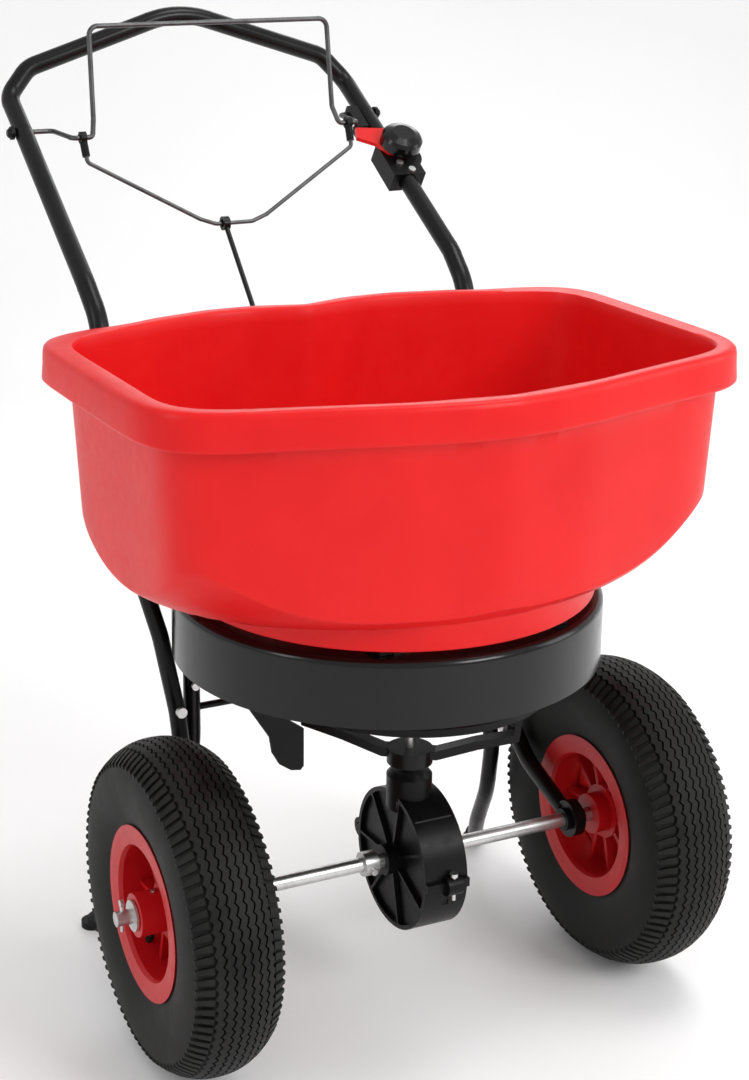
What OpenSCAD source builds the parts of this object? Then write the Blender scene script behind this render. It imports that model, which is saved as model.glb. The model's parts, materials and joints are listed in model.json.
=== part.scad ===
// Push broadcast spreader: hopper, shroud, impeller drive, wheeled frame and
// handle with a squeeze bail that opens the shut-off plate.
// Ground is z = 0, the axle runs along X above the origin, the front faces -Y.

/* [Wheels] */
// Outside diameter of the pneumatic tyre
tyre_d = 356; // [350:1:360]
// Width of the tyre section
tyre_w = 100; // [94:1:101]
// Distance between the wheel centre planes
track = 540; // [536:1:552]
// Flange diameter of the rim
flange_d = 186; // [180:1:190]
// Number of rim spokes
spokes = 5; // [4:1:7]

/* [Drive] */
// Axle diameter
axle_d = 16; // [14:1:17]
// Vertical impeller shaft diameter
shaft_d = 9.5; // [8:0.5:10]
// Teeth on the pinion
pinion_teeth = 12; // [12:1:12]
// Teeth on the crown gear
crown_teeth = 48; // [48:1:48]
// Gear module
gear_module = 1.8; // [1.8:0.1:1.8]
// Impeller diameter
impeller_d = 300; // [260:5:320]
// Impeller blades
blades = 4; // [3:1:6]

/* [Hopper] */
// Height of the hopper rim above the ground
rim_z = 744; // [736:1:752]
// Half the width over the rim
rim_x = 339; // [330:1:342]
// Wall thickness of the moulded hopper
wall = 4; // [3:0.5:5]

/* [Frame] */
// Handle tube diameter
handle_d = 22.2; // [20:0.1:23]
// Side frame and leg tube diameter
tube_d = 19; // [16:0.5:19.5]
// Bail wire diameter
bail_d = 6; // [5:0.5:6.5]
// Yoke wire diameter
yoke_d = 5; // [4:0.5:5]

/* [Hidden] */
$fn = 64;
seam = 0.3;
axle_z = tyre_d / 2;
wheel_x = track / 2;
bead_r = 76.3;
rim_half = 43.5;
crown_r = gear_module * crown_teeth / 2;
pinion_r = gear_module * pinion_teeth / 2;
drum_r = 79;
shroud_r = 233;
shroud_y = 60;
shroud_z0 = 405;
shroud_z1 = 477;
floor_z = 483;
neck_r = 222;
body_z = 703;
foot_z = 513;
grip_tilt = 32.5;
grip_y = 566.2;
grip_z = 914.4;
grip_x = 229.5;
bail_pivot = [0, 566.2, 914.4];
rod_x = -12;
rod_foot = [rod_x, 310, 641];
rod_eye = [rod_x, 464, 806];
rod_dir = unit(rod_eye - rod_foot);
crank_arm = 75;
crank_half = 12.72;
crank_y = 310 + crank_arm * (cos(crank_half) * rod_dir[2] + sin(crank_half) * rod_dir[1]);
crank_z = 641 - crank_arm * (cos(crank_half) * rod_dir[1] - sin(crank_half) * rod_dir[2]);
gate_pin_z = floor_z + 9;
gate_pin_y = crank_y + (crank_z - gate_pin_z) * tan(crank_half);
gate_travel = 2 * (crank_z - gate_pin_z) * tan(crank_half);
outlet_y = -88;
frame_y = 219;

function unit(v) = v / norm(v);
function mirror_x(p) = [for (q = p) [-q[0], q[1], q[2]]];
function flip(p) = [for (i = [len(p) - 1:-1:0]) p[i]];
function sgnpow(t, k) = sign(t) * pow(abs(t), k);

// moves parts drawn about the axle so the origin is the middle of the footprint
module in_frame() {
  translate([0, -frame_y, 0])
    children();
}

// a straight round bar between two points
module bar(a, b, d) {
  v = b - a;
  l = norm(v);
  translate(a)
    rotate([0, acos(v[2] / l), atan2(v[1], v[0])])
      cylinder(h = l, d = d);
}

// a quarter-ring elbow starting at a, leaving along u, turning towards w
module elbow(a, u, w, r, ang, d) {
  x = -w;
  z = cross(x, u);
  c = a + r * w;
  multmatrix([[x[0], u[0], z[0], c[0]],
              [x[1], u[1], z[1], c[1]],
              [x[2], u[2], z[2], c[2]],
              [0, 0, 0, 1]])
    rotate_extrude(angle = ang)
      translate([r, 0])
        circle(d = d);
}

// a bent round bar through points p with bend radii r at the inner points
module bent(p, r, d) {
  n = len(p);
  u = [for (i = [0:n - 2]) unit(p[i + 1] - p[i])];
  a = [for (i = [0:n - 1])
    (i == 0 || i == n - 1) ? 0 : acos(min(1, u[i - 1] * u[i]))];
  t = [for (i = [0:n - 1]) r[i] * tan(a[i] / 2)];
  gap = [for (i = [0:n - 1]) (i == 0 || i == n - 1) ? 0 : seam];
  for (i = [0:n - 2])
    bar(p[i] + u[i] * (t[i] + gap[i]), p[i + 1] - u[i] * (t[i + 1] + gap[i + 1]), d);
  for (i = [1:n - 2]) {
    start = p[i] - u[i - 1] * t[i];
    stop = p[i] + u[i] * t[i];
    elbow(start, u[i - 1], unit(u[i] - u[i - 1] * (u[i] * u[i - 1])), r[i], a[i], d);
    bar(start - u[i - 1] * 2 * seam, start + u[i - 1] * seam, d + seam);
    bar(stop - u[i] * seam, stop + u[i] * 2 * seam, d + seam);
  }
}

// places children in the frame of the handle tubes: x across, y up the tube
module on_grip() {
  translate([0, grip_y, grip_z])
    rotate([grip_tilt, 0, 0])
      children();
}

// turns a part drawn about Z so that it lies about the axle line
module about_axle(x) {
  translate([x, 0, axle_z])
    rotate([0, 90, 0])
      children();
}

module both() {
  children();
  mirror([1, 0, 0])
    children();
}

/* hopper -------------------------------------------------------------- */

rim_half_outline = [[0, -207], [44, -203], [100, -191], [160, -173], [207, -159],
  [255, -147], [285, -136], [305, -123], [319, -107], [328, -86], [333, -58],
  [335, -10], [336, 110], [336, 172], [334, 197], [324, 219], [311, 231],
  [297, 239], [275, 247], [227, 256], [184, 273], [118, 289], [58, 288], [0, 271]];
body_half_outline = [[0, -190], [100, -175], [160, -157], [207, -143], [255, -129],
  [285, -116], [300, -103], [309, -85], [312, -60], [313, 120], [312, 172],
  [304, 198], [285, 218], [225, 238], [184, 253], [118, 269], [66, 268], [0, 252]];

module both_halves(half) {
  polygon(concat(half, [for (q = flip(half)) if (q[0] > 0) [-q[0], q[1]]]));
}

module rim_outline(grow) {
  translate([0, 41])
    scale([(rim_x + grow) / 336, (248 + grow) / 248])
      translate([0, -41])
        both_halves(rim_half_outline);
}

module body_outline(grow, taper) {
  translate([0, 40])
    scale([(315 * taper + grow) / 313, (230 * taper + grow) / 230])
      translate([0, -40])
        both_halves(body_half_outline);
}

// height of the hopper's underside at a distance d outside the neck's ellipse
function bowl_z(d) = foot_z - 1 + 0.55 * d + 0.0145 * d * d;

module oval(r) {
  polygon([for (i = [0:71]) [1.3 * r * cos(i * 5), r * sin(i * 5)]]);
}

module slice(z) {
  translate([0, 0, z])
    linear_extrude(1)
      children();
}

module body_box(grow) {
  low = 315 * 0.965 + grow;
  translate([0, 40, foot_z - 8])
    linear_extrude(height = body_z - foot_z + 15, scale = (315 + grow) / low)
      translate([0, -40])
        body_outline(grow, 0.965);
}

module hopper_shell(grow, lift) {
  intersection() {
    body_box(grow);
    translate([0, shroud_y - 3, lift])
      hull() {
        for (d = [0:8:72])
          slice(bowl_z(d)) oval(neck_r + d + grow);
        slice(rim_z + 40) oval(neck_r + 72 + grow);
      }
  }
}

module neck(r, z0, z1) {
  translate([0, shroud_y - 3, z0])
    cylinder(h = z1 - z0, r = r);
}

module hopper() {
  color("#c8202a")
  in_frame()
  difference() {
    union() {
      hopper_shell(0, 0);
      translate([0, 0, rim_z - 38])
        linear_extrude(38)
          rim_outline(0);
      neck(neck_r, floor_z, foot_z);
    }
    hopper_shell(-wall, wall);
    intersection() {
      body_box(-wall);
      neck(neck_r - wall, floor_z + wall, foot_z + 9);
    }
    neck(neck_r - wall, floor_z + wall, foot_z - wall);
    translate([0, 0, rim_z - 37.9])
      linear_extrude(40)
        body_outline(-wall, 1);
    translate([0, 0, rim_z - 38.1])
      linear_extrude(34)
        difference() {
          rim_outline(-4);
          body_outline(0.1, 1);
        }
    translate([0, 0, floor_z - 1])
      cylinder(h = 12, d = shaft_d + 3);
    for (s = [-1, 0, 1])
      translate([s * 62, outlet_y, floor_z - 1])
        cylinder(h = 8, d = 34);
  }
}

module shroud() {
  color("#1b1b1d")
  in_frame()
  translate([0, shroud_y, 0])
  difference() {
    rotate_extrude()
      union() {
        translate([shroud_r - 4, shroud_z0])
          square([4, shroud_z1 - shroud_z0 - 8]);
        translate([shroud_r - 8, shroud_z1 - 8])
          intersection() {
            circle(r = 8);
            square(8);
          }
        translate([shroud_r - 26, shroud_z1 - 4])
          square([18.5, 4]);
      }
    translate([-40, 0, shroud_z1 - 6])
      cube([80, 260, 12]);
    for (s = [-1, 1])
      translate([s * 186, 106, shroud_z0 - 1])
        cylinder(h = 90, d = tube_d + 1.4);
  }
}

module side_tabs() {
  color("#1b1b1d")
  in_frame()
  both()
    translate([0, 4, 0])
      rotate([90, 0, 0])
        linear_extrude(4)
          polygon([[157, 415], [210, 415], [198, 398], [166, 348], [163, 330],
            [155, 316], [142, 307], [131, 305], [127, 309], [127, 352], [157, 374]]);
}

module shut_off_plate() {
  color("#8d9094")
  in_frame()
  difference() {
    union() {
      translate([-95, -125, floor_z - 3])
        cube([190, 170, 2.4]);
      translate([rod_x - 12, 40, floor_z - 3])
        cube([24, gate_pin_y - 30, 2.4]);
      translate([rod_x - 9, gate_pin_y - 10, floor_z - 3])
        cube([8, 20, 24]);
    }
    translate([-shaft_d / 2 - 2, -40, floor_z - 4])
      cube([shaft_d + 4, 100, 5]);
    for (s = [-1, 0, 1])
      translate([s * 62, outlet_y + gate_travel, floor_z - 4])
        cylinder(h = 5, d = 34);
    translate([rod_x - 10, gate_pin_y - 3.9, floor_z + 1])
      cube([20, 7.8, 24]);
  }
}

module plate_guides() {
  color("#2a2a2c")
  in_frame()
  for (s = [-1, 1])
    translate([s * 102, -40, floor_z])
      mirror([0, 0, 1]) {
        translate([-6, -92, 0])
          cube([12, 184, 5.5]);
        translate([s > 0 ? -10 : 4, -92, 3.4])
          cube([6, 184, 2.1]);
      }
}

/* impeller and drive -------------------------------------------------- */

module impeller() {
  color("#202022")
  in_frame()
  difference() {
    union() {
      translate([0, 0, 384])
        cylinder(h = 3, d = impeller_d);
      translate([0, 0, 384])
        cylinder(h = 30, d = 34);
      for (i = [0:blades - 1])
        rotate([0, 0, 20 + i * 360 / blades])
          translate([12, -1.5, 386])
            cube([impeller_d / 2 - 14, 3, 20]);
      translate([0, 0, 384])
        rotate_extrude()
          translate([impeller_d / 2 - 3, 0])
            square([3, 8]);
    }
    translate([0, 0, 380])
      cylinder(h = 60, d = shaft_d + 0.1);
    translate([-14.02, 0, 399])
      rotate([0, 90, 0])
        cylinder(h = 28.04, d = 4.04);
  }
}

module carrier_bar() {
  color("#2c2c2e")
  in_frame()
  rotate([0, 0, -36])
    difference() {
      union() {
        rotate([90, 0, 0])
          translate([0, 0, -9])
            linear_extrude(18)
              polygon([[-150, 383.8], [-118, 383.8], [-112, 333], [-70, 322],
                [-28, 307], [28, 307], [70, 322], [112, 333], [118, 383.8],
                [150, 383.8], [150, 380], [124, 380], [118, 326], [74, 313],
                [30, 297], [-30, 297], [-74, 313], [-118, 326], [-124, 380],
                [-150, 380]]);
        translate([0, 0, 290])
          cylinder(h = 17, d = 50);
      }
      translate([0, 0, 280])
        cylinder(h = 60, d = shaft_d + 0.1);
    }
}

module impeller_shaft() {
  color("#b9bcc0")
  in_frame()
  difference() {
    translate([0, 0, axle_z + 31])
      cylinder(h = 540 - axle_z - 31, d = shaft_d);
    translate([-20, 0, 399])
      rotate([0, 90, 0])
        cylinder(h = 40, d = 4.1);
    translate([-20, 0, 522])
      rotate([0, 90, 0])
        cylinder(h = 40, d = 4.1);
  }
}

module shaft_collar() {
  color("#a7aaae")
  in_frame()
  difference() {
    union() {
      translate([0, 0, 283.5])
        cylinder(h = 6, d = 20);
      translate([0, -8, 286.5])
        rotate([90, 0, 0])
          cylinder(h = 4, d = 4);
    }
    translate([0, 0, 280])
      cylinder(h = 12, d = shaft_d + 0.1);
  }
}

module agitator() {
  color("#a7aaae")
  in_frame()
  translate([-34, 0, 522])
    rotate([0, 90, 0])
      cylinder(h = 68, d = 4);
}

module drive_pin() {
  color("#a7aaae")
  in_frame()
  translate([-14, 0, 399])
    rotate([0, 90, 0])
      cylinder(h = 28, d = 4);
}

module pinion() {
  tip = pinion_r + 0.85 * gear_module;
  root = pinion_r - 1.05 * gear_module;
  color("#c9a24a")
  in_frame()
  difference() {
    union() {
      translate([0, 0, axle_z + crown_r - 6])
        cylinder(h = 12, r = root);
      for (i = [0:pinion_teeth - 1])
        rotate([0, 0, i * 360 / pinion_teeth])
          translate([0, 0, axle_z + crown_r - 6])
            linear_extrude(12)
              polygon([[root - 1, -1.55], [root, -1.45], [tip, -0.5],
                [tip, 0.5], [root, 1.45], [root - 1, 1.55]]);
      translate([0, 0, axle_z + crown_r + 5.9])
        cylinder(h = 8, d = 17);
    }
    translate([0, 0, axle_z])
      cylinder(h = 80, d = shaft_d + 0.1);
  }
}

module crown_gear() {
  root = pinion_r + 1.1 * gear_module;
  tip = pinion_r - 0.8 * gear_module;
  color("#8f9296")
  in_frame()
  difference() {
    union() {
      about_axle(root)
        cylinder(h = 6, r = crown_r + 5);
      about_axle(root - 4)
        cylinder(h = 16, d = 34);
      for (i = [0:crown_teeth - 1])
        translate([0, 0, axle_z])
          rotate([(i + 0.5) * 360 / crown_teeth, 0, 0])
            translate([0, 0, crown_r - 4.7])
              linear_extrude(9.4)
                polygon([[root + 1, -1.9], [root, -1.8], [tip, -0.6],
                  [tip, 0.6], [root, 1.8], [root + 1, 1.9]]);
    }
    about_axle(0)
      cylinder(h = 60, d = axle_d + 0.1);
    for (i = [0:5])
      translate([0, 0, axle_z])
        rotate([i * 60, 0, 0])
          translate([0, 0, 27])
            rotate([0, 90, 0])
              cylinder(h = 40, d = 11);
  }
}

module drum_solid() {
  about_axle(-21)
    cylinder(h = 51, r = drum_r);
  for (q = [[8, -1], [-8, 1]])
    translate([q[0] * 1.2, q[1] * (drum_r + 3), axle_z])
      rotate([0, 90, 0])
        translate([0, 0, -9])
          cylinder(h = 18, r = 11);
  translate([0, 0, axle_z + 60])
    cylinder(h = 38, d = 50);
  translate([0, 0, axle_z + 98])
    cylinder(h = 6, d1 = 50, d2 = 40);
  about_axle(-32)
    cylinder(h = 72, d = 34);
  translate([-21, -drum_r - 5, axle_z - 5])
    cube([51, 2 * drum_r + 10, 10]);
  translate([-18, -66, axle_z + 40])
    rotate([-38, 0, 0])
      cube([44, 4, 30]);
}

module drum_cut() {
  about_axle(-13)
    cylinder(h = 40, r = drum_r - 4);
  about_axle(-40)
    cylinder(h = 90, d = axle_d + 0.12);
  translate([0, 0, axle_z])
    cylinder(h = 120, d = shaft_d + 0.12);
  difference() {
    about_axle(-22)
      cylinder(h = 6, r = drum_r - 5);
    about_axle(-32)
      cylinder(h = 72, d = 34);
    for (i = [0:6])
      translate([-30, 0, axle_z])
        rotate([i * 360 / 7 + 12, 0, 0])
          translate([0, -1.6, 0])
            cube([30, 3.2, drum_r]);
  }
  for (q = [[8, -1], [-8, 1]])
    translate([q[0] * 1.2, q[1] * (drum_r + 6.5), axle_z - 20])
      cylinder(h = 40, d = 5);
  for (s = [-1, 1])
    translate([22, s * (drum_r + 1.5), axle_z - 20])
      cylinder(h = 40, d = 3.2);
}

module gearbox_upper() {
  color("#18181a")
  in_frame()
  intersection() {
    difference() {
      drum_solid();
      drum_cut();
    }
    translate([-60, -120, axle_z + 0.05])
      cube([120, 240, 130]);
  }
}

module gearbox_lower() {
  color("#18181a")
  in_frame()
  intersection() {
    difference() {
      drum_solid();
      drum_cut();
      translate([2, -drum_r - 3, axle_z - 26])
        cube([7, 8, 7]);
    }
    translate([-60, -120, axle_z - 130.05])
      cube([120, 240, 130]);
  }
}

module gearbox_screws() {
  color("#c6c8cb")
  in_frame()
  for (q = [[8, -1], [-8, 1]])
    translate([q[0] * 1.2, q[1] * (drum_r + 6.5), axle_z]) {
      translate([0, 0, -16])
        cylinder(h = 29, d = 4.8);
      translate([0, 0, 11.5])
        cylinder(h = 4, d = 9);
    }
}

/* axle and wheels ----------------------------------------------------- */

module axle() {
  color("#c4c7ca")
  in_frame()
  difference() {
    about_axle(-342)
      cylinder(h = 684, d = axle_d);
    for (s = [-1, 1])
      translate([s * 335, 0, axle_z - 20])
        cylinder(h = 40, d = 4.1);
    translate([-300, 0, axle_z - 30])
      cylinder(h = 60, d = 6.1);
  }
}

module axle_collars() {
  color("#9a9da1")
  in_frame()
  for (x = [-57, 41])
    difference() {
      union() {
        about_axle(x)
          cylinder(h = 16, d = 27);
        translate([x + 8, -12, axle_z - 4])
          rotate([90, 0, 0])
            cylinder(h = 5, d = 7);
      }
      about_axle(x - 1)
        cylinder(h = 18, d = axle_d + 0.1);
    }
}

module axle_bushes() {
  color("#202022")
  in_frame()
  both()
    difference() {
      union() {
        about_axle(199)
          cylinder(h = 26, d = 22);
        about_axle(199)
          cylinder(h = 4, d = 26);
      }
      about_axle(198)
        cylinder(h = 30, d = axle_d + 0.12);
    }
}

module hub_washers() {
  color("#c6c8cb")
  in_frame()
  both()
    about_axle(322)
      difference() {
        cylinder(h = 2.5, d = 33);
        translate([0, 0, -1])
          cylinder(h = 5, d = axle_d + 0.1);
      }
}

module axle_pins() {
  color("#c6c8cb")
  in_frame()
  union() {
    both() {
      translate([335, 0, axle_z - 15])
        cylinder(h = 32, d = 4);
      translate([335, 0, axle_z + 17])
        rotate([0, 90, 0])
          translate([0, 0, -2])
            cylinder(h = 4, d = 8);
    }
    translate([-300, 0, axle_z - 25])
      cylinder(h = 50, d = 6);
  }
}

function tyre_x(s, w) = w * sgnpow(cos(s), 0.82);
function tyre_r(s, h) = tyre_d / 2 - 46 + h * sgnpow(sin(s), 0.86);

module rim(pinned) {
  difference() {
    union() {
      rotate_extrude() {
        for (s = [-1, 1])
          scale([1, s])
            polygon([[bead_r - 6, 0], [bead_r - 0.3, 0], [bead_r - 0.3, rim_half - 4],
              [flange_d / 2 - 6, rim_half - 4], [flange_d / 2 - 1, rim_half - 2],
              [flange_d / 2, rim_half], [flange_d / 2 - 7, rim_half],
              [bead_r - 4, rim_half - 1.5], [bead_r - 6, rim_half - 6]]);
      }
      translate([0, 0, -3])
        cylinder(h = 6, r = bead_r - 5);
      translate([0, 0, -35])
        cylinder(h = 86, d = 46);
      translate([0, 0, -18])
        cylinder(h = 36, d = 62);
      for (i = [0:spokes - 1])
        rotate([0, 0, i * 360 / spokes])
          for (s = [-1, 1])
            rotate([0, 0, s * 15])
              translate([20, -2.5, -17])
                cube([bead_r - 25, 5, 34]);
    }
    translate([0, 0, -60])
      cylinder(h = 140, d = axle_d + (pinned ? 0.1 : 0.14));
    for (i = [0:spokes - 1])
      rotate([0, 0, (i + 0.5) * 360 / spokes])
        translate([0, 0, -20])
          linear_extrude(40)
            polygon([[36, -5], [66, -19], [69, 0], [66, 19], [36, 5]]);
    rotate([0, 0, 180 / spokes])
      translate([bead_r - 12, 0, 20])
        rotate([0, 90, 0])
          cylinder(h = 12, d = 8.4);
    if (pinned)
      translate([-30, 0, 30])
        rotate([0, 90, 0])
          cylinder(h = 60, d = 6.1);
  }
}

module left_rim() {
  color("#b3202b")
  in_frame()
  mirror([1, 0, 0])
    about_axle(wheel_x)
      rim(true);
}

module right_rim() {
  color("#b3202b")
  in_frame()
  about_axle(wheel_x)
    rim(false);
}

bead_section = [[flange_d / 2 + 0.6, -rim_half + 4.2], [bead_r, -rim_half + 4.2],
  [bead_r, -24]];

module tyre() {
  n = 40;
  outside = [for (i = [0:n]) let (s = -38 + i * 256 / n)
    [tyre_r(s, 46), tyre_x(s, tyre_w / 2)]];
  inside = [for (i = [0:n]) let (s = 233 - i * 286 / n)
    [tyre_r(s, 37), tyre_x(s, tyre_w / 2 - 8)]];
  rotate_extrude()
    difference() {
      polygon(concat(outside, bead_section, inside,
        [for (q = flip(bead_section)) [q[0], -q[1]]]));
      for (s = [-1, 1])
        for (k = [12, 29])
          translate([tyre_d / 2 - 5 - k * k / 160, s * k - 1.2])
            square([12, 2.4]);
    }
}

module left_tyre() {
  color("#26272a")
  in_frame()
  about_axle(-wheel_x)
    tyre();
}

module right_tyre() {
  color("#26272a")
  in_frame()
  about_axle(wheel_x)
    tyre();
}

module valve() {
  translate([0, 0, wheel_x])
    rotate([0, 0, 180 / spokes])
      translate([bead_r - 22, 0, 20])
        rotate([0, 90, 0]) {
          translate([0, 0, 8])
            cylinder(h = 12, d = 8);
          cylinder(h = 10, d = 6);
        }
}

module left_valve() {
  color("#1b1b1d")
  in_frame()
  mirror([1, 0, 0])
    about_axle(0)
      valve();
}

module right_valve() {
  color("#1b1b1d")
  in_frame()
  about_axle(0)
    valve();
}

/* frame --------------------------------------------------------------- */

frame_path = [[232, 292, 660], [232, 278, 590], [230, 208, 478], [218, 176, 408],
  [207, 158, 325], [208, 130, 246], [209, 92, 212], [210.5, 14, 183]];
frame_bend = [0, 60, 60, 60, 90, 60, 60, 0];
leg_path = [[186, 166, 479], [186, 166, 284], [200, 158, 212], [210, 184, 135],
  [228, 234, 70], [259, 293, 12]];
leg_bend = [0, 120, 90, 120, 150, 0];

module frame() {
  difference() {
    union() {
      bent(frame_path, frame_bend, tube_d);
      about_axle(205)
        cylinder(h = 13, d = 42);
    }
    about_axle(190)
      cylinder(h = 40, d = 22);
    translate([210, 0, axle_z])
      rotate([0, 90, 0])
        translate([0, 0, 8])
          cylinder(h = 12, d = 60);
  }
}

module left_frame() {
  color("#141416")
  in_frame()
  mirror([1, 0, 0])
    frame();
}

module right_frame() {
  color("#141416")
  in_frame()
  frame();
}

module leg() {
  bent(leg_path, leg_bend, tube_d);
  translate([186 - 24, 166 - 14, shroud_z1 + 0.4])
    cube([48, 28, floor_z - shroud_z1 - 0.5]);
}

module left_leg() {
  color("#141416")
  in_frame()
  mirror([1, 0, 0])
    leg();
}

module right_leg() {
  color("#141416")
  in_frame()
  leg();
}

module foot_caps() {
  tip = leg_path[5];
  along = unit(leg_path[5] - leg_path[4]);
  color("#101012")
  in_frame()
  both()
    difference() {
      union() {
        bar(tip - 13 * along, tip + 7 * along, tube_d + 5);
        translate([tip[0] + 4.5, tip[1] + 8.8, 0])
          cylinder(h = 8, d = 27);
      }
      bar(tip - 30 * along, tip, tube_d + 0.04);
      translate([200, 200, -20])
        cube([150, 150, 20]);
    }
}

module cross_rod() {
  color("#1b1b1d")
  in_frame()
  translate([-176.4, 166, 322])
    rotate([0, 90, 0])
      cylinder(h = 352.8, d = 8);
}

module rear_brace() {
  color("#141416")
  in_frame()
  difference() {
    union() {
      translate([-222.4, 276, 596])
        cube([444.8, 5, 26]);
      for (s = [-1, 1])
        translate([rod_x + s * 9 - 2, 280.9, crank_z - 13])
          cube([4, crank_y - 280.9 + 12, 26]);
    }
    translate([rod_x - 20, crank_y, crank_z])
      rotate([0, 90, 0])
        cylinder(h = 40, d = 8.1);
  }
}

module frame_bolts() {
  color("#c6c8cb")
  in_frame()
  both() {
    translate([198.4, 129, 243])
      rotate([0, -90, 0])
        cylinder(h = 6, d = 13);
    translate([207, 147.2, 328])
      rotate([90, 0, 0])
        cylinder(h = 5, d = 12);
    translate([186, 156, 352])
      rotate([90, 0, 0])
        cylinder(h = 4, d = 9);
  }
}

/* handle -------------------------------------------------------------- */

handle_path = [[232, 300, 662], [232, 304, 735], [233.5, 345, 773],
  [228.1, 566.2, 914.4], [227, 624, 951], [198, 634, 983], [0, 634, 1046],
  [-198, 634, 983], [-227, 624, 951], [-228.1, 566.2, 914.4],
  [-233.5, 345, 773], [-232, 304, 735], [-232, 300, 662]];
handle_bend = [0, 60, 60, 300, 26, 34, 130, 34, 26, 300, 60, 60, 0];

module handle_bar() {
  color("#141416")
  in_frame()
  difference() {
    bent(handle_path, handle_bend, handle_d);
    translate([-260, bail_pivot[1], bail_pivot[2]])
      rotate([0, 90, 0])
        cylinder(h = 520, d = bail_d + 0.14);
  }
}

module joint_sleeves() {
  color("#1b1b1d")
  in_frame()
  both()
    difference() {
      translate([232 - 15, 282, 640])
        cube([30, 32, 42]);
      bar([232, 301.5, 690], [232, 299.5, 653], handle_d);
      bar([232, 278 + 14 * 1.2, 590 + 70 * 1.2], [232, 278, 590], tube_d);
      bar([232, 292.5, 662.4], [232, 278, 590], tube_d + 0.2);
    }
}

module joint_bolts() {
  color("#c6c8cb")
  in_frame()
  both()
    translate([247, 300, 668])
      rotate([0, 90, 0])
        cylinder(h = 6, d = 13);
}

/* bail, yoke, rod, crank ---------------------------------------------- */

bail_half = [[-246, 566.2, 914.4], [-192, 566.2, 914.4], [-187, 508, 912],
  [-162, 508, 912], [-157, 518, 932], [-155, 531.5, 1038]];
bail_path = concat(bail_half, flip(mirror_x(bail_half)));
bail_bend = [0, 8, 6, 6, 12, 11, 11, 12, 6, 6, 8, 0];

module bail() {
  color("#4a4d50")
  in_frame()
  bent(bail_path, bail_bend, bail_d);
}

module bail_caps() {
  color("#141416")
  in_frame()
  both()
    difference() {
      union() {
        translate([240.5, bail_pivot[1], bail_pivot[2]])
          rotate([0, 90, 0])
            cylinder(h = 4, d = 16);
        translate([244.4, bail_pivot[1], bail_pivot[2]])
          rotate([0, 90, 0])
            cylinder(h = 4, d1 = 15, d2 = 8);
      }
      translate([238, bail_pivot[1], bail_pivot[2]])
        rotate([0, 90, 0])
          cylinder(h = 8.02, d = bail_d + 0.02);
    }
}

module bail_clamp() {
  color("#141416")
  in_frame()
  on_grip()
    difference() {
      translate([202, -35, -9])
        cube([14.8, 41, 18]);
      rotate([0, 90, 0])
        translate([0, 0, 190])
          cylinder(h = 60, d = bail_d + 0.14);
    }
}

module clamp_screw() {
  color("#c6c8cb")
  in_frame()
  on_grip()
    translate([201.9, -24, 0])
      rotate([0, -90, 0])
        cylinder(h = 3.5, d = 9);
}

hook = [-174.5, 508, 912];
hook_dir = unit([0.5, -6, -14]);
yoke_half = [hook + 9.5 * hook_dir, hook + 30 * hook_dir, [-44, 466, 813],
  [-24, 464, 806]];
yoke_path = concat(yoke_half, flip(mirror_x(yoke_half)));

module yoke() {
  color("#55585b")
  in_frame()
  bent(yoke_path, [0, 7, 10, 12, 12, 10, 7, 0], yoke_d);
}

module hook_sleeves() {
  color("#18181a")
  in_frame()
  both()
    difference() {
      union() {
        bar(hook + 5 * hook_dir, hook + 23 * hook_dir, 9.4);
        translate(hook - [3.5, 0, 0])
          rotate([0, 90, 0])
            cylinder(h = 7, d = 14.5);
      }
      translate(hook - [20, 0, 0])
        rotate([0, 90, 0])
          cylinder(h = 40, d = bail_d + 1.4);
      bar(hook + 9 * hook_dir, hook + 40 * hook_dir, yoke_d + 0.04);
    }
}

module control_rod() {
  color("#1b1b1d")
  in_frame()
  difference() {
    union() {
      bar(rod_foot + 8.2 * rod_dir, rod_eye - 7 * rod_dir, 6);
      translate(rod_eye - [4, 0, 0])
        rotate([0, 90, 0])
          cylinder(h = 8, d = 17);
      translate(rod_foot - [2, 0, 0])
        rotate([0, 90, 0])
          cylinder(h = 4, d = 18);
    }
    translate(rod_eye - [14, 0, 0])
      rotate([0, 90, 0])
        cylinder(h = 28, d = yoke_d + 5);
    translate(rod_foot - [6, 0, 0])
      rotate([0, 90, 0])
        cylinder(h = 12, d = 11);
  }
}

module crank_link(a, b, da, db) {
  hull() {
    translate(a)
      rotate([0, 90, 0])
        cylinder(h = 3, d = da, $fn = 32);
    translate(b)
      rotate([0, 90, 0])
        cylinder(h = 3, d = db, $fn = 32);
  }
}

module crank() {
  lift = [3.3, 0, 0];
  pivot = [rod_x, crank_y, crank_z];
  gate_pin = [rod_x, gate_pin_y, gate_pin_z];
  color("#8d9094")
  in_frame()
  difference() {
    union() {
      crank_link(pivot + lift, rod_foot + lift, 20, 14);
      crank_link(pivot + lift, gate_pin + lift, 20, 12);
      translate(gate_pin - [8.6, 0, 0])
        rotate([0, 90, 0])
          cylinder(h = 12, d = 6);
      translate(rod_foot - [4, 0, 0])
        rotate([0, 90, 0])
          cylinder(h = 8, d = 6);
    }
    translate(pivot - [14, 0, 0])
      rotate([0, 90, 0])
        cylinder(h = 40, d = 8.14);
  }
}

module crank_pin() {
  color("#c6c8cb")
  in_frame()
  translate([rod_x - 13, crank_y, crank_z])
    rotate([0, 90, 0]) {
      cylinder(h = 26, d = 8);
      translate([0, 0, -1.9])
        cylinder(h = 3.8, d = 13);
    }
}

/* stop control -------------------------------------------------------- */

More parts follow.
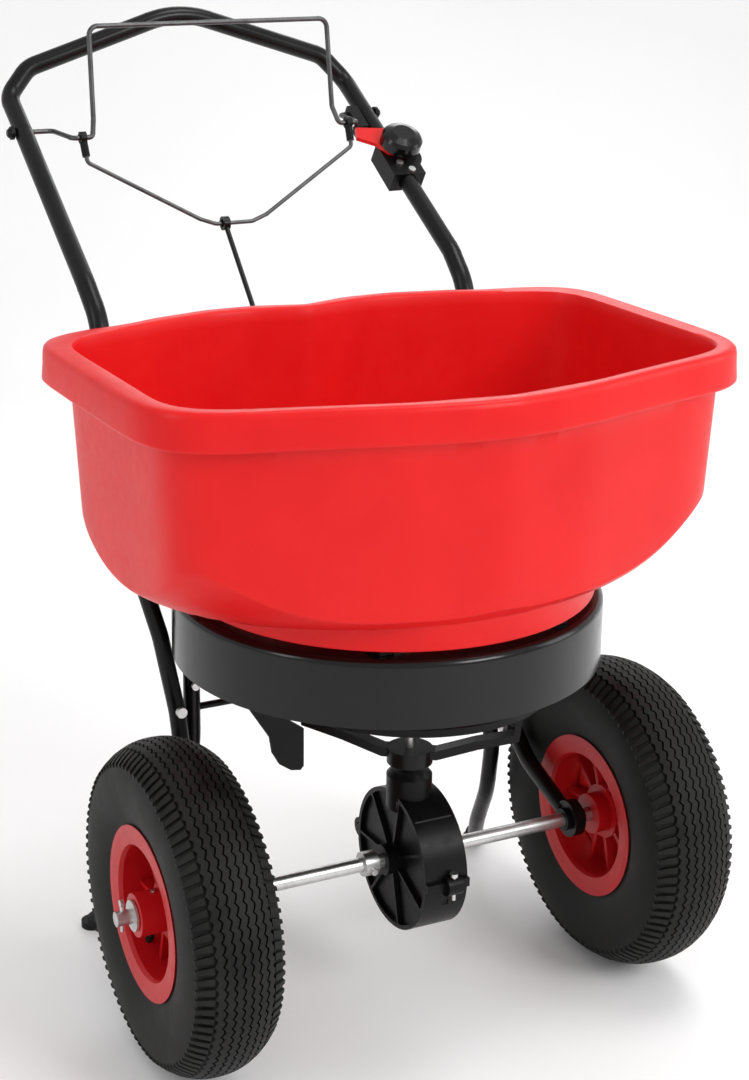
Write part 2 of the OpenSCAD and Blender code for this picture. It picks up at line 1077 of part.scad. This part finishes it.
module stop_bracket() {
  color("#18181a")
  in_frame()
  on_grip()
    difference() {
      union() {
        translate([209, -134, -14])
          cube([44, 60, 26]);
        translate([236, -98, -12])
          cylinder(h = 24, d = 50);
      }
      translate([229.33, -60, 0])
        rotate([90, 0, 1.18])
          cylinder(h = 90, d = handle_d + 1.2);
      translate([236, -85, -20])
        cylinder(h = 60, d = 8.2);
    }
}

module stop_screws() {
  color("#9a9da1")
  in_frame()
  on_grip()
    for (q = [[225, -113], [236, -127]])
      translate([q[0], q[1], 12])
        cylinder(h = 3, d = 9);
}

module stop_lever() {
  color("#c8202a")
  in_frame()
  on_grip()
    difference() {
      translate([0, 0, 12.6])
        linear_extrude(5)
          polygon([[190, -47], [232, -52], [236, -74], [248, -90], [242, -103],
            [216, -97], [206, -80], [184, -66]]);
      translate([236, -85, 0])
        cylinder(h = 40, d = 8.14);
    }
}

module stop_knob() {
  color("#141416")
  in_frame()
  on_grip()
    translate([236, -85, 0]) {
      translate([0, 0, 12.2])
        cylinder(h = 8, d = 8);
      translate([0, 0, 18.2])
        cylinder(h = 12, d = 52);
      translate([0, 0, 30.1])
        cylinder(h = 4, d1 = 52, d2 = 46);
      translate([0, 0, 34])
        cylinder(h = 4, d1 = 46, d2 = 28);
    }
}

hopper();
shroud();
side_tabs();
shut_off_plate();
plate_guides();
impeller();
carrier_bar();
impeller_shaft();
shaft_collar();
agitator();
pinion();
crown_gear();
gearbox_upper();
gearbox_lower();
gearbox_screws();
axle();
axle_collars();
axle_bushes();
hub_washers();
axle_pins();
drive_pin();
left_rim();
right_rim();
left_tyre();
right_tyre();
left_valve();
right_valve();
left_frame();
right_frame();
left_leg();
right_leg();
foot_caps();
cross_rod();
rear_brace();
frame_bolts();
handle_bar();
joint_sleeves();
joint_bolts();
bail();
bail_caps();
bail_clamp();
clamp_screw();
yoke();
hook_sleeves();
control_rod();
crank();
crank_pin();
stop_bracket();
stop_screws();
stop_lever();
stop_knob();
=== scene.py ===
"""Looks for the push broadcast spreader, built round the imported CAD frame."""
import json
import math

import bmesh
import bpy
from mathutils import Matrix, Vector


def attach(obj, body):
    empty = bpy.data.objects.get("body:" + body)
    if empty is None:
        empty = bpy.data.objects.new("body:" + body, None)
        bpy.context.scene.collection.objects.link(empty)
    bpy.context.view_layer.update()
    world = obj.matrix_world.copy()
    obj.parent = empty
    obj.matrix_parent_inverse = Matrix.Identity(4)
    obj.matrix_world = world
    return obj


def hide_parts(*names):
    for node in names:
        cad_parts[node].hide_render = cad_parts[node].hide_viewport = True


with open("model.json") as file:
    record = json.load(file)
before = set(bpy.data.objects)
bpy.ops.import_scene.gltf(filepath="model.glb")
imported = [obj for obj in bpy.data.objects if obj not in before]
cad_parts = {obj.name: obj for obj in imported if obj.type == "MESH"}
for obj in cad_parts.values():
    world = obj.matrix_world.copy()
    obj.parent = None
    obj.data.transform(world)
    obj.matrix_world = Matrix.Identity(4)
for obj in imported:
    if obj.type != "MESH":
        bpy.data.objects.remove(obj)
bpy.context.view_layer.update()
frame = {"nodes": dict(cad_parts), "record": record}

MM = 0.001
FRAME_Y = 219.0          # the axle stands this far in front of the frame's origin, mm
AXLE_Z = 178.0
WHEEL_X = 270.0
TYRE_R = 178.0
NODES = frame["nodes"]


def place(x, y, z):
    """A point given in mm about the axle, in the frame's metres."""
    return Vector((x * MM, (y - FRAME_Y) * MM, z * MM))


# ---------------------------------------------------------------- materials

class Graph:
    """Small helper that wires shader nodes."""

    def __init__(self, name):
        self.mat = bpy.data.materials.new(name)
        self.mat.use_nodes = True
        self.tree = self.mat.node_tree
        self.bsdf = self.tree.nodes["Principled BSDF"]
        self.coord = self.add("ShaderNodeTexCoord").outputs["Object"]

    def add(self, kind, **values):
        node = self.tree.nodes.new(kind)
        for key, value in values.items():
            if hasattr(node, key):
                setattr(node, key, value)
            else:
                node.inputs[key].default_value = value
        return node

    def link(self, out, socket):
        self.tree.links.new(out, socket)

    def mapped(self, scale):
        node = self.add("ShaderNodeMapping")
        node.inputs["Scale"].default_value = scale
        self.link(self.coord, node.inputs["Vector"])
        return node.outputs["Vector"]

    def noise(self, scale, detail=3.0, rough=0.5, stretch=None):
        node = self.add("ShaderNodeTexNoise")
        node.inputs["Scale"].default_value = scale
        node.inputs["Detail"].default_value = detail
        node.inputs["Roughness"].default_value = rough
        self.link(self.mapped(stretch) if stretch else self.coord, node.inputs["Vector"])
        return node.outputs["Fac"]

    def ramp(self, fac, stops):
        node = self.add("ShaderNodeValToRGB")
        ramp = node.color_ramp
        while len(ramp.elements) < len(stops):
            ramp.elements.new(0.5)
        for element, (position, colour) in zip(ramp.elements, stops):
            element.position = position
            element.color = tuple(colour) + ((1.0,) if len(colour) == 3 else ())
        self.link(fac, node.inputs["Fac"])
        return node.outputs["Color"]

    def span(self, fac, low, high, start=0.3, stop=0.7):
        node = self.add("ShaderNodeMapRange")
        for key, value in (("From Min", start), ("From Max", stop),
                           ("To Min", low), ("To Max", high)):
            node.inputs[key].default_value = value
        self.link(fac, node.inputs["Value"])
        return node.outputs["Result"]

    def bump(self, heights):
        """heights: list of (output, strength, distance)"""
        normal = None
        for height, strength, distance in heights:
            node = self.add("ShaderNodeBump")
            node.inputs["Strength"].default_value = strength
            node.inputs["Distance"].default_value = distance
            self.link(height, node.inputs["Height"])
            if normal:
                self.link(normal, node.inputs["Normal"])
            normal = node.outputs["Normal"]
        self.link(normal, self.bsdf.inputs["Normal"])

    def put(self, **values):
        for key, value in values.items():
            socket = self.bsdf.inputs[key.replace("_", " ")]
            if isinstance(value, bpy.types.NodeSocket):
                self.link(value, socket)
            else:
                socket.default_value = value


def plastic(name, dark, light, rough=(0.3, 0.42), grain=1400.0, depth=0.12, coat=0.0,
            specular=0.5):
    g = Graph(name)
    broad = g.noise(9.0, 4.0, 0.55)
    fine = g.noise(grain, 2.0, 0.6)
    scuff = g.noise(60.0, 5.0, 0.7)
    g.put(Base_Color=g.ramp(broad, [(0.3, dark), (0.72, light)]),
          Roughness=g.span(scuff, rough[0], rough[1]))
    g.bsdf.inputs["Specular IOR Level"].default_value = specular
    g.bsdf.inputs["Coat Weight"].default_value = coat
    g.bsdf.inputs["Coat Roughness"].default_value = 0.12
    g.bump([(fine, depth, 0.0004), (scuff, 0.05, 0.0006)])
    return g.mat


def metal(name, dark, light, rough=(0.25, 0.45), stretch=(40.0, 900.0, 900.0), depth=0.1):
    g = Graph(name)
    streak = g.noise(1.0, 3.0, 0.6, stretch=stretch)
    blotch = g.noise(55.0, 4.0, 0.6)
    g.put(Base_Color=g.ramp(blotch, [(0.3, dark), (0.7, light)]),
          Roughness=g.span(streak, rough[0], rough[1]), Metallic=1.0)
    g.bump([(streak, depth, 0.0003)])
    return g.mat


def powder(name, dark, light, rough=(0.26, 0.38)):
    """Satin powder coat with a fine orange peel."""
    g = Graph(name)
    peel = g.noise(420.0, 2.0, 0.4)
    broad = g.noise(12.0, 3.0, 0.5)
    g.put(Base_Color=g.ramp(broad, [(0.3, dark), (0.7, light)]),
          Roughness=g.span(broad, rough[0], rough[1]))
    g.bsdf.inputs["Specular IOR Level"].default_value = 0.24
    g.bump([(peel, 0.16, 0.0005)])
    return g.mat


def rubber(name, dark, light, rough=(0.55, 0.75)):
    g = Graph(name)
    dust = g.noise(26.0, 6.0, 0.65)
    fine = g.noise(900.0, 3.0, 0.6)
    g.put(Base_Color=g.ramp(dust, [(0.32, dark), (0.75, light)]),
          Roughness=g.span(dust, rough[0], rough[1]))
    g.bsdf.inputs["Specular IOR Level"].default_value = 0.2
    g.bump([(fine, 0.2, 0.0004)])
    return g.mat


MAT = {
    "hopper_red": plastic("hopper_red", (0.66, 0.005, 0.007), (0.74, 0.010, 0.010),
                          (0.32, 0.42), 1700.0, 0.14, 0.0, 0.22),
    "rim_red": plastic("rim_red", (0.44, 0.004, 0.007), (0.56, 0.008, 0.010), (0.3, 0.42),
                       1400.0, 0.12, 0.0, 0.3),
    "black_gloss": plastic("black_gloss", (0.0025, 0.0025, 0.0025), (0.0045, 0.0045, 0.0045),
                           (0.14, 0.24), 2000.0, 0.05, 0.15, 0.25),
    "black_plastic": plastic("black_plastic", (0.0025, 0.0025, 0.0027),
                             (0.0055, 0.0055, 0.0055), (0.30, 0.44), 1400.0, 0.12, 0.0, 0.16),
    "powder_black": powder("powder_black", (0.002, 0.002, 0.002), (0.004, 0.004, 0.004)),
    "zinc": metal("zinc", (0.50, 0.50, 0.50), (0.68, 0.68, 0.67)),
    "dark_steel": metal("dark_steel", (0.07, 0.07, 0.072), (0.12, 0.12, 0.122), (0.3, 0.45)),
    "gear_steel": metal("gear_steel", (0.28, 0.27, 0.26), (0.42, 0.41, 0.40), (0.35, 0.55)),
    "gear_brass": metal("gear_brass", (0.55, 0.36, 0.12), (0.72, 0.50, 0.20), (0.3, 0.5)),
    "tyre_rubber": rubber("tyre_rubber", (0.004, 0.004, 0.0038), (0.016, 0.0165, 0.015),
                          (0.5, 0.68)),
    "valve_rubber": rubber("valve_rubber", (0.006, 0.006, 0.006), (0.012, 0.012, 0.012)),
}

# ---------------------------------------------------------------- mesh helpers


def piece(name, verts, faces, material, smooth=35.0):
    mesh = bpy.data.meshes.new(name)
    mesh.from_pydata([tuple(v) for v in verts], [], faces)
    mesh.validate()
    obj = bpy.data.objects.new(name, mesh)
    bpy.context.scene.collection.objects.link(obj)
    tidy = bmesh.new()
    tidy.from_mesh(mesh)
    bmesh.ops.remove_doubles(tidy, verts=tidy.verts, dist=1e-6)
    bmesh.ops.recalc_face_normals(tidy, faces=tidy.faces)
    tidy.to_mesh(mesh)
    tidy.free()
    mesh.materials.append(MAT[material])
    shade(obj, smooth)
    return obj


def shade(obj, degrees):
    mesh = obj.data
    work = bmesh.new()
    work.from_mesh(mesh)
    limit = math.radians(degrees)
    for face in work.faces:
        face.smooth = True
    for edge in work.edges:
        flat = len(edge.link_faces) == 2 and edge.calc_face_angle(0.0) > limit
        edge.smooth = not flat
    work.to_mesh(mesh)
    work.free()


def bevel(obj, width_mm, segments=2, degrees=32.0):
    mod = obj.modifiers.new("bevel", "BEVEL")
    mod.width = width_mm * MM
    mod.segments = segments
    mod.limit_method = "ANGLE"
    mod.angle_limit = math.radians(degrees)
    mod.harden_normals = False
    mod.use_clamp_overlap = True


def grid_faces(rows, cols, closed_rows=False, closed_cols=True, offset=0):
    faces = []
    for i in range(rows if closed_rows else rows - 1):
        for j in range(cols if closed_cols else cols - 1):
            a, b = i * cols + j, i * cols + (j + 1) % cols
            c, d = ((i + 1) % rows) * cols + (j + 1) % cols, ((i + 1) % rows) * cols + j
            faces.append((offset + a, offset + b, offset + c, offset + d))
    return faces


# ---------------------------------------------------------------- hopper

def radial(points, centre, samples, soften):
    """Distance from centre to a closed outline at even angles, smoothed over a few."""
    out = []
    cx, cy = centre
    for k in range(samples):
        angle = 2 * math.pi * k / samples
        dx, dy = math.cos(angle), math.sin(angle)
        best = 0.0
        for (x0, y0), (x1, y1) in zip(points, points[1:] + points[:1]):
            ex, ey = x1 - x0, y1 - y0
            det = dx * ey - dy * ex
            if abs(det) < 1e-9:
                continue
            t = ((x0 - cx) * ey - (y0 - cy) * ex) / det
            u = ((x0 - cx) * dy - (y0 - cy) * dx) / det
            if t > 0 and -1e-6 <= u <= 1 + 1e-6:
                best = max(best, t)
        out.append(best)
    weights = [math.exp(-0.5 * (i / soften) ** 2) for i in range(-3 * soften, 3 * soften + 1)]
    total = sum(weights)
    return [sum(w * out[(k + i) % samples]
                for w, i in zip(weights, range(-3 * soften, 3 * soften + 1))) / total
            for k in range(samples)]


def whole(half):
    """Closes a half outline by mirroring it in the middle plane."""
    return half + [(-x, y) for x, y in reversed(half) if x > 0]


RIM_HALF = [(0, -207), (44, -203), (100, -191), (160, -173), (207, -159), (255, -147),
            (285, -136), (305, -123), (319, -107), (328, -86), (333, -58), (335, -10),
            (336, 110), (336, 172), (334, 197), (324, 219), (311, 231), (297, 239),
            (275, 247), (227, 256), (184, 273), (118, 289), (58, 288), (0, 271)]
BODY_HALF = [(0, -190), (100, -175), (160, -157), (207, -143), (255, -129), (285, -116),
             (300, -103), (309, -85), (312, -60), (313, 120), (312, 172), (304, 198),
             (285, 218), (225, 238), (184, 253), (118, 269), (66, 268), (0, 252)]
HOPPER_CENTRE = (0.0, 57.0)
AROUND = 288
NECK_R = 222.0
FLOOR_Z = 483.0
FOOT_Z = 513.0
WALL_TOP = 706.0
OUTLINE_MIDDLE_Y = 40.0  # outlines are scaled about this line
OVAL = 1.3               # width over depth of the hopper's underside
RIM_STRETCH = 339 / 336  # the rim as built over the outline's own half width
WALL_TOP_SCALE = 1.006
WALL_FOOT_SCALE = 0.972


def bowl_z(k, r):
    """Height of the hopper's underside at angle k and radius r from the neck's centre."""
    a = 2 * math.pi * k / AROUND
    d = max(0.0, r * math.hypot(math.cos(a) / OVAL, math.sin(a)) - NECK_R)
    return FOOT_Z - 1 + 0.55 * d + 0.0145 * d * d


def scaled(points, sx, sy):
    return [(x * sx, OUTLINE_MIDDLE_Y + (y - OUTLINE_MIDDLE_Y) * sy) for x, y in points]


def hopper():
    rim, body = whole(RIM_HALF), whole(BODY_HALF)
    top = radial(scaled(rim, RIM_STRETCH, 1.0), HOPPER_CENTRE, AROUND, 1)
    wide = radial(scaled(body, WALL_TOP_SCALE, WALL_TOP_SCALE), HOPPER_CENTRE, AROUND, 2)
    tight = radial(scaled(body, WALL_FOOT_SCALE, WALL_FOOT_SCALE), HOPPER_CENTRE, AROUND, 2)

    def box(k, z):
        """Radius of the tapered wall at angle k; held out over the neck low at the back."""
        t = (z - (FOOT_Z - 8)) / (WALL_TOP - FOOT_Z + 8)
        r = tight[k] + (wide[k] - tight[k]) * t
        held = max(0.0, min(1.0, (545 - z) / 30))
        return max(r, NECK_R + 1.6) * held + r * (1 - held)

    def edge_height(k):
        low, high = FOOT_Z - 1, WALL_TOP
        for _ in range(30):
            middle = (low + high) / 2
            if bowl_z(k, box(k, middle)) > middle:
                low = middle
            else:
                high = middle
        return low

    edge = [edge_height(k) for k in range(AROUND)]
    rings = []                      # each a list of (radius, z), up the outside, down the inside

    def level(add, z):
        rings.append([(r + add, z) for r in top])

    def flat(r, z):
        rings.append([(r, z)] * AROUND)

    def bowl(share, inset=0.0, lift=0.0, start=NECK_R + 1.4, rise=0.0):
        row = []
        for k in range(AROUND):
            r = start + (box(k, edge[k]) - start) * share
            row.append((r - inset, bowl_z(k, r) + lift + rise))
        rings.append(row)

    def side(share, inset=0.0, near=0.0):
        row = []
        for k in range(AROUND):
            z = edge[k] + near + (WALL_TOP - edge[k] - near) * share
            row.append((box(k, z) - inset, z))
        rings.append(row)

    flat(NECK_R - 2, FLOOR_Z)
    flat(NECK_R - 0.2, FLOOR_Z + 1.4)
    flat(NECK_R - 0.2, FOOT_Z - 6)
    flat(NECK_R + 0.8, FOOT_Z - 2.6)
    for share in (0.0, 0.1, 0.2, 0.3, 0.4, 0.5, 0.6, 0.7, 0.8, 0.9, 0.965):
        bowl(share)
    bowl(0.992, rise=0.5)
    side(0.0, 0.5, 1.6)
    side(0.0, 0.0, 5.0)
    for share in (0.15, 0.3, 0.45, 0.6, 0.75, 0.88, 0.985):
        side(share)
    level(-12, 707.2)
    level(-4.6, 708.0)
    level(-3.4, 706.4)
    level(-1.6, 705.7)
    level(0.0, 707.2)
    level(0.3, 709.5)
    level(-0.8, 722.0)
    level(-1.4, 736.0)
    level(-2.4, 740.6)
    level(-4.6, 743.0)
    level(-8.0, 744.0)
    rings.append([(max(r - 22, w - 1), 744.0) for r, w in zip(top, wide)])
    rings.append([(w - 2.6, 743.0) for w in wide])
    rings.append([(w - 4.0, 740.0) for w in wide])
    rings.append([(w - 4.4, 728.0) for w in wide])
    for share in (0.95, 0.8, 0.65, 0.5, 0.35, 0.2, 0.08):
        side(share, 4.4)
    side(0.0, 5.2, 3.0)
    for share in (0.95, 0.85, 0.75, 0.65, 0.5, 0.35, 0.2, 0.1):
        bowl(share, 3.6, 4.0)
    flat(NECK_R - 3.6, FOOT_Z + 2.0)
    flat(NECK_R - 4.0, FOOT_Z - 4)
    flat(NECK_R - 4.0, FLOOR_Z + 6.5)
    flat(NECK_R - 6.0, FLOOR_Z + 4.2)
    flat(NECK_R * 0.6, FLOOR_Z + 4)
    flat(NECK_R * 0.2, FLOOR_Z + 4)
    verts = []
    for ring in rings:
        for k, (r, z) in enumerate(ring):
            a = 2 * math.pi * k / AROUND
            verts.append(place(HOPPER_CENTRE[0] + r * math.cos(a),
                               HOPPER_CENTRE[1] + r * math.sin(a), z))
    faces = grid_faces(len(rings), AROUND)
    last = (len(rings) - 1) * AROUND
    faces.append(tuple(last + k for k in reversed(range(AROUND))))
    faces.append(tuple(range(AROUND)))
    obj = piece("hopper_shell", verts, faces, "hopper_red", 50.0)
    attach(obj, "frame")
    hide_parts("hopper")
    return obj


# ---------------------------------------------------------------- tyres

def crown(x):
    """Tread radius at a distance x from the wheel's middle plane, mm."""
    return TYRE_R - 0.2 - 16.5 * (abs(x) / 44.0) ** 2.3


def tyre_ring():
    """Section of the carcass from bead to bead as (x, radius)."""
    side = [(39.0, 76.6), (41.0, 80.0), (41.4, 94.5), (43.5, 99.0), (46.6, 108.0),
            (48.9, 120.0), (49.8, 132.0), (49.3, 143.0), (47.6, 152.0), (46.0, 156.5)]
    deep = [(x, crown(x) - 4.2) for x in (42, 36, 30, 24, 18, 12, 6, 0)]
    left = [(-x, r) for x, r in reversed(deep[:-1])] + [(-x, r) for x, r in reversed(side)]
    inner = [(-30, 76.4), (-26, 92), (-34, 102), (-41, 132), (-30, 160), (0, 168),
             (30, 160), (41, 132), (34, 102), (26, 92), (30, 76.4)]
    return side + deep + left + inner


TREAD_ROWS = (-26.8, -17.8, -8.9, 0.0, 8.9, 17.8, 26.8)
PITCHES = 92


def tyre(name, node, body, side):
    verts, faces = [], []
    ring = tyre_ring()
    turns = 168

    def at(x, r, a):
        return place(side * WHEEL_X + x, r * math.cos(a), AXLE_Z + r * math.sin(a))

    for k in range(turns):
        a = 2 * math.pi * k / turns
        verts += [at(x, r, a) for x, r in ring]
    faces += grid_faces(turns, len(ring), closed_rows=True, closed_cols=True)

    # ribs with saw-tooth flanks, three points to a tooth
    tooth = ((0.0, -1.6), (0.35, 1.5), (0.72, 0.3))
    for row, row_x in enumerate(TREAD_ROWS):
        base = len(verts)
        half = 3.75
        for k in range(PITCHES):
            for share, swing in tooth:
                turn = 2 * math.pi * (k + share) / PITCHES
                for x, drop in ((row_x - half + swing, 3.6), (row_x - half + 0.35 + swing, 0.0),
                                (row_x + half - 0.35 + swing, 0.0), (row_x + half + swing, 3.6)):
                    verts.append(at(x, crown(x) - drop, turn))
        faces += grid_faces(PITCHES * len(tooth), 4, closed_rows=True, closed_cols=False,
                            offset=base)
    # short slanted lugs down each shoulder
    for edge in (-1, 1):
        for k in range(PITCHES):
            base = len(verts)
            for lift in (-4.4, 0.3):
                for x, share in ((32.4, 0.02), (41.5, 0.22), (47.2, 0.50),
                                 (47.2, 0.86), (41.5, 0.78), (32.4, 0.66)):
                    out = 0.9 if x > 45 and lift > 0 else 0.0
                    verts.append(at(edge * (x + out), crown(x) + lift - (1.0 if x > 45 else 0.0),
                                    2 * math.pi * (k + share) / PITCHES))
            faces.append((base + 6, base + 7, base + 10, base + 11))
            faces.append((base + 7, base + 8, base + 9, base + 10))
            for i in range(6):
                a, b = base + i, base + (i + 1) % 6
                faces.append((a, b, b + 6, a + 6))
    obj = piece(name, verts, faces, "tyre_rubber", 28.0)
    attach(obj, body)
    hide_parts(node)
    return obj


# ---------------------------------------------------------------- CAD nodes

SLOT_OF = {row["node"]: row["material_slot"] for row in frame["record"]["subparts"]}
SOFTEN = {"gearbox_upper": 1.2, "gearbox_lower": 1.2, "left_rim": 1.0, "right_rim": 1.0,
          "shroud": 0.8, "side_tabs": 0.8, "carrier_bar": 0.8, "impeller": 0.6,
          "stop_bracket": 1.2, "stop_lever": 0.9, "stop_knob": 1.2, "bail_clamp": 1.2,
          "joint_sleeves": 1.0, "rear_brace": 0.6, "foot_caps": 0.8, "crank": 0.4,
          "plate_guides": 0.5, "axle_collars": 0.5, "hub_washers": 0.3, "axle": 0.6,
          "hook_sleeves": 0.5, "frame_bolts": 0.6, "joint_bolts": 0.6}
for name, node in NODES.items():
    node.data.materials.clear()
    node.data.materials.append(MAT[SLOT_OF[name]])
    if name in SOFTEN:
        bevel(node, SOFTEN[name])

hopper()
tyre("tyre_left", "left_tyre", "axle_drive", -1)
tyre("tyre_right", "right_tyre", "right_wheel", 1)

# ---------------------------------------------------------------- stage

# name, place, what it points at, size (metres) and power (watts)
LIGHTS = (
    ("key", (1.3, -3.2, 2.3), (0.0, -0.1, 0.5), (1.3, 1.3), 52.0),
    ("fill", (2.9, -1.2, 1.4), (0.0, 0.0, 0.5), (1.2, 1.6), 14.0),
    ("top", (0.9, -0.5, 3.3), (0.0, 0.0, 0.5), (1.2, 1.2), 26.0),
    ("left", (-3.0, -0.6, 2.2), (0.0, 0.0, 0.5), (0.7, 1.8), 16.0),
    ("back", (1.8, 2.6, 2.4), (0.0, 0.0, 0.6), (1.6, 1.6), 16.0),
)


def emitter(name, where, target, size, power):
    data = bpy.data.lights.new(name, "AREA")
    data.shape = "RECTANGLE"
    data.size, data.size_y = size
    data.energy = power
    obj = bpy.data.objects.new(name, data)
    obj.location = where
    obj.rotation_euler = (Vector(target) - Vector(where)).to_track_quat("-Z", "Y").to_euler()
    bpy.context.scene.collection.objects.link(obj)


def stage():
    mesh = bpy.data.meshes.new("floor")
    reach, curve_start, height = 9.0, 2.6, 6.0
    rows = [(-reach, 0.0), (curve_start, 0.0)]
    for k in range(1, 17):
        a = math.pi / 2 * k / 16
        rows.append((curve_start + 1.6 * math.sin(a), 1.6 * (1 - math.cos(a))))
    rows.append((curve_start + 1.6, height))
    turn = Matrix.Rotation(math.radians(-25.0), 4, "Z")
    verts = []
    for y, z in rows:
        for x in (-reach, reach):
            verts.append(tuple(turn @ Vector((x, y, z))))
    mesh.from_pydata(verts, [], grid_faces(len(rows), 2, closed_cols=False))
    floor = bpy.data.objects.new("floor", mesh)
    for face in mesh.polygons:
        face.use_smooth = True
    g = Graph("studio_floor")
    tone = g.noise(1.5, 3.0, 0.5)
    g.put(Base_Color=g.ramp(tone, [(0.3, (0.94, 0.94, 0.94)), (0.7, (0.96, 0.96, 0.96))]),
          Roughness=0.6)
    mesh.materials.append(g.mat)
    bpy.context.scene.collection.objects.link(floor)
    world = bpy.data.worlds.new("studio")
    world.use_nodes = True
    world.node_tree.nodes["Background"].inputs["Color"].default_value = (1.0, 1.0, 1.0, 1.0)
    world.node_tree.nodes["Background"].inputs["Strength"].default_value = 0.72
    bpy.context.scene.world = world
    for light in LIGHTS:
        emitter(*light)


# fitted so that the view matches the photograph's
LENS_MM = 67.6233
SENSOR_MM = 36.0
SHIFT = (0.078935, -0.049074)      # lens shift, as a share of the sensor
CAMERA_AT = (-973.1, -1770.7, 1219.0)
CAMERA_TILT = 72.95
CAMERA_TURN = -25.09


def camera():
    data = bpy.data.cameras.new("camera")
    data.sensor_width = SENSOR_MM
    data.lens = LENS_MM
    data.shift_x, data.shift_y = SHIFT
    data.clip_end = 40.0
    obj = bpy.data.objects.new("camera", data)
    obj.location = place(*CAMERA_AT)
    obj.rotation_euler = (math.radians(CAMERA_TILT), 0.0, math.radians(CAMERA_TURN))
    bpy.context.scene.collection.objects.link(obj)
    bpy.context.scene.camera = obj


stage()
camera()
view = bpy.context.scene.view_settings
view.view_transform = "Standard"
view.exposure = 0.0
